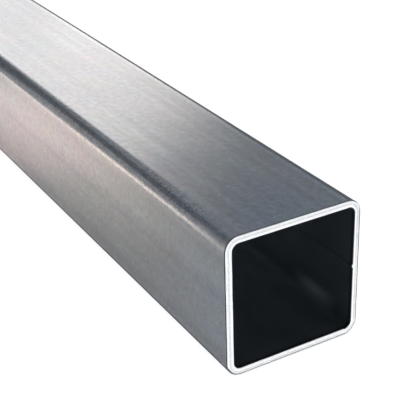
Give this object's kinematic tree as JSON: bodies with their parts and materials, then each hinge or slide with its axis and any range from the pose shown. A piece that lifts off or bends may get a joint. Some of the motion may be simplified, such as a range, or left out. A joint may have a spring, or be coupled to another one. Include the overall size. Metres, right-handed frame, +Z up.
{
  "type": "square steel tube",
  "caption": "Length of cold-formed square steel tube with rolled corners, a weld bead along the bore and sawn, deburred open ends.",
  "frame": {"origin": "on the face that the tube lies on, under the middle of its length", "axes": "+X along the tube towards its near end, +Y towards the wall with the weld seam, +Z up"},
  "size_m": [1, 0.05, 0.05],
  "materials": {
    "steel": "bright mill finish drawn along the tube, sawn bright ends, dark scale in the bore"
  },
  "bodies": {
    "root": {"square_tube": "steel"}
  },
  "joints": []
}
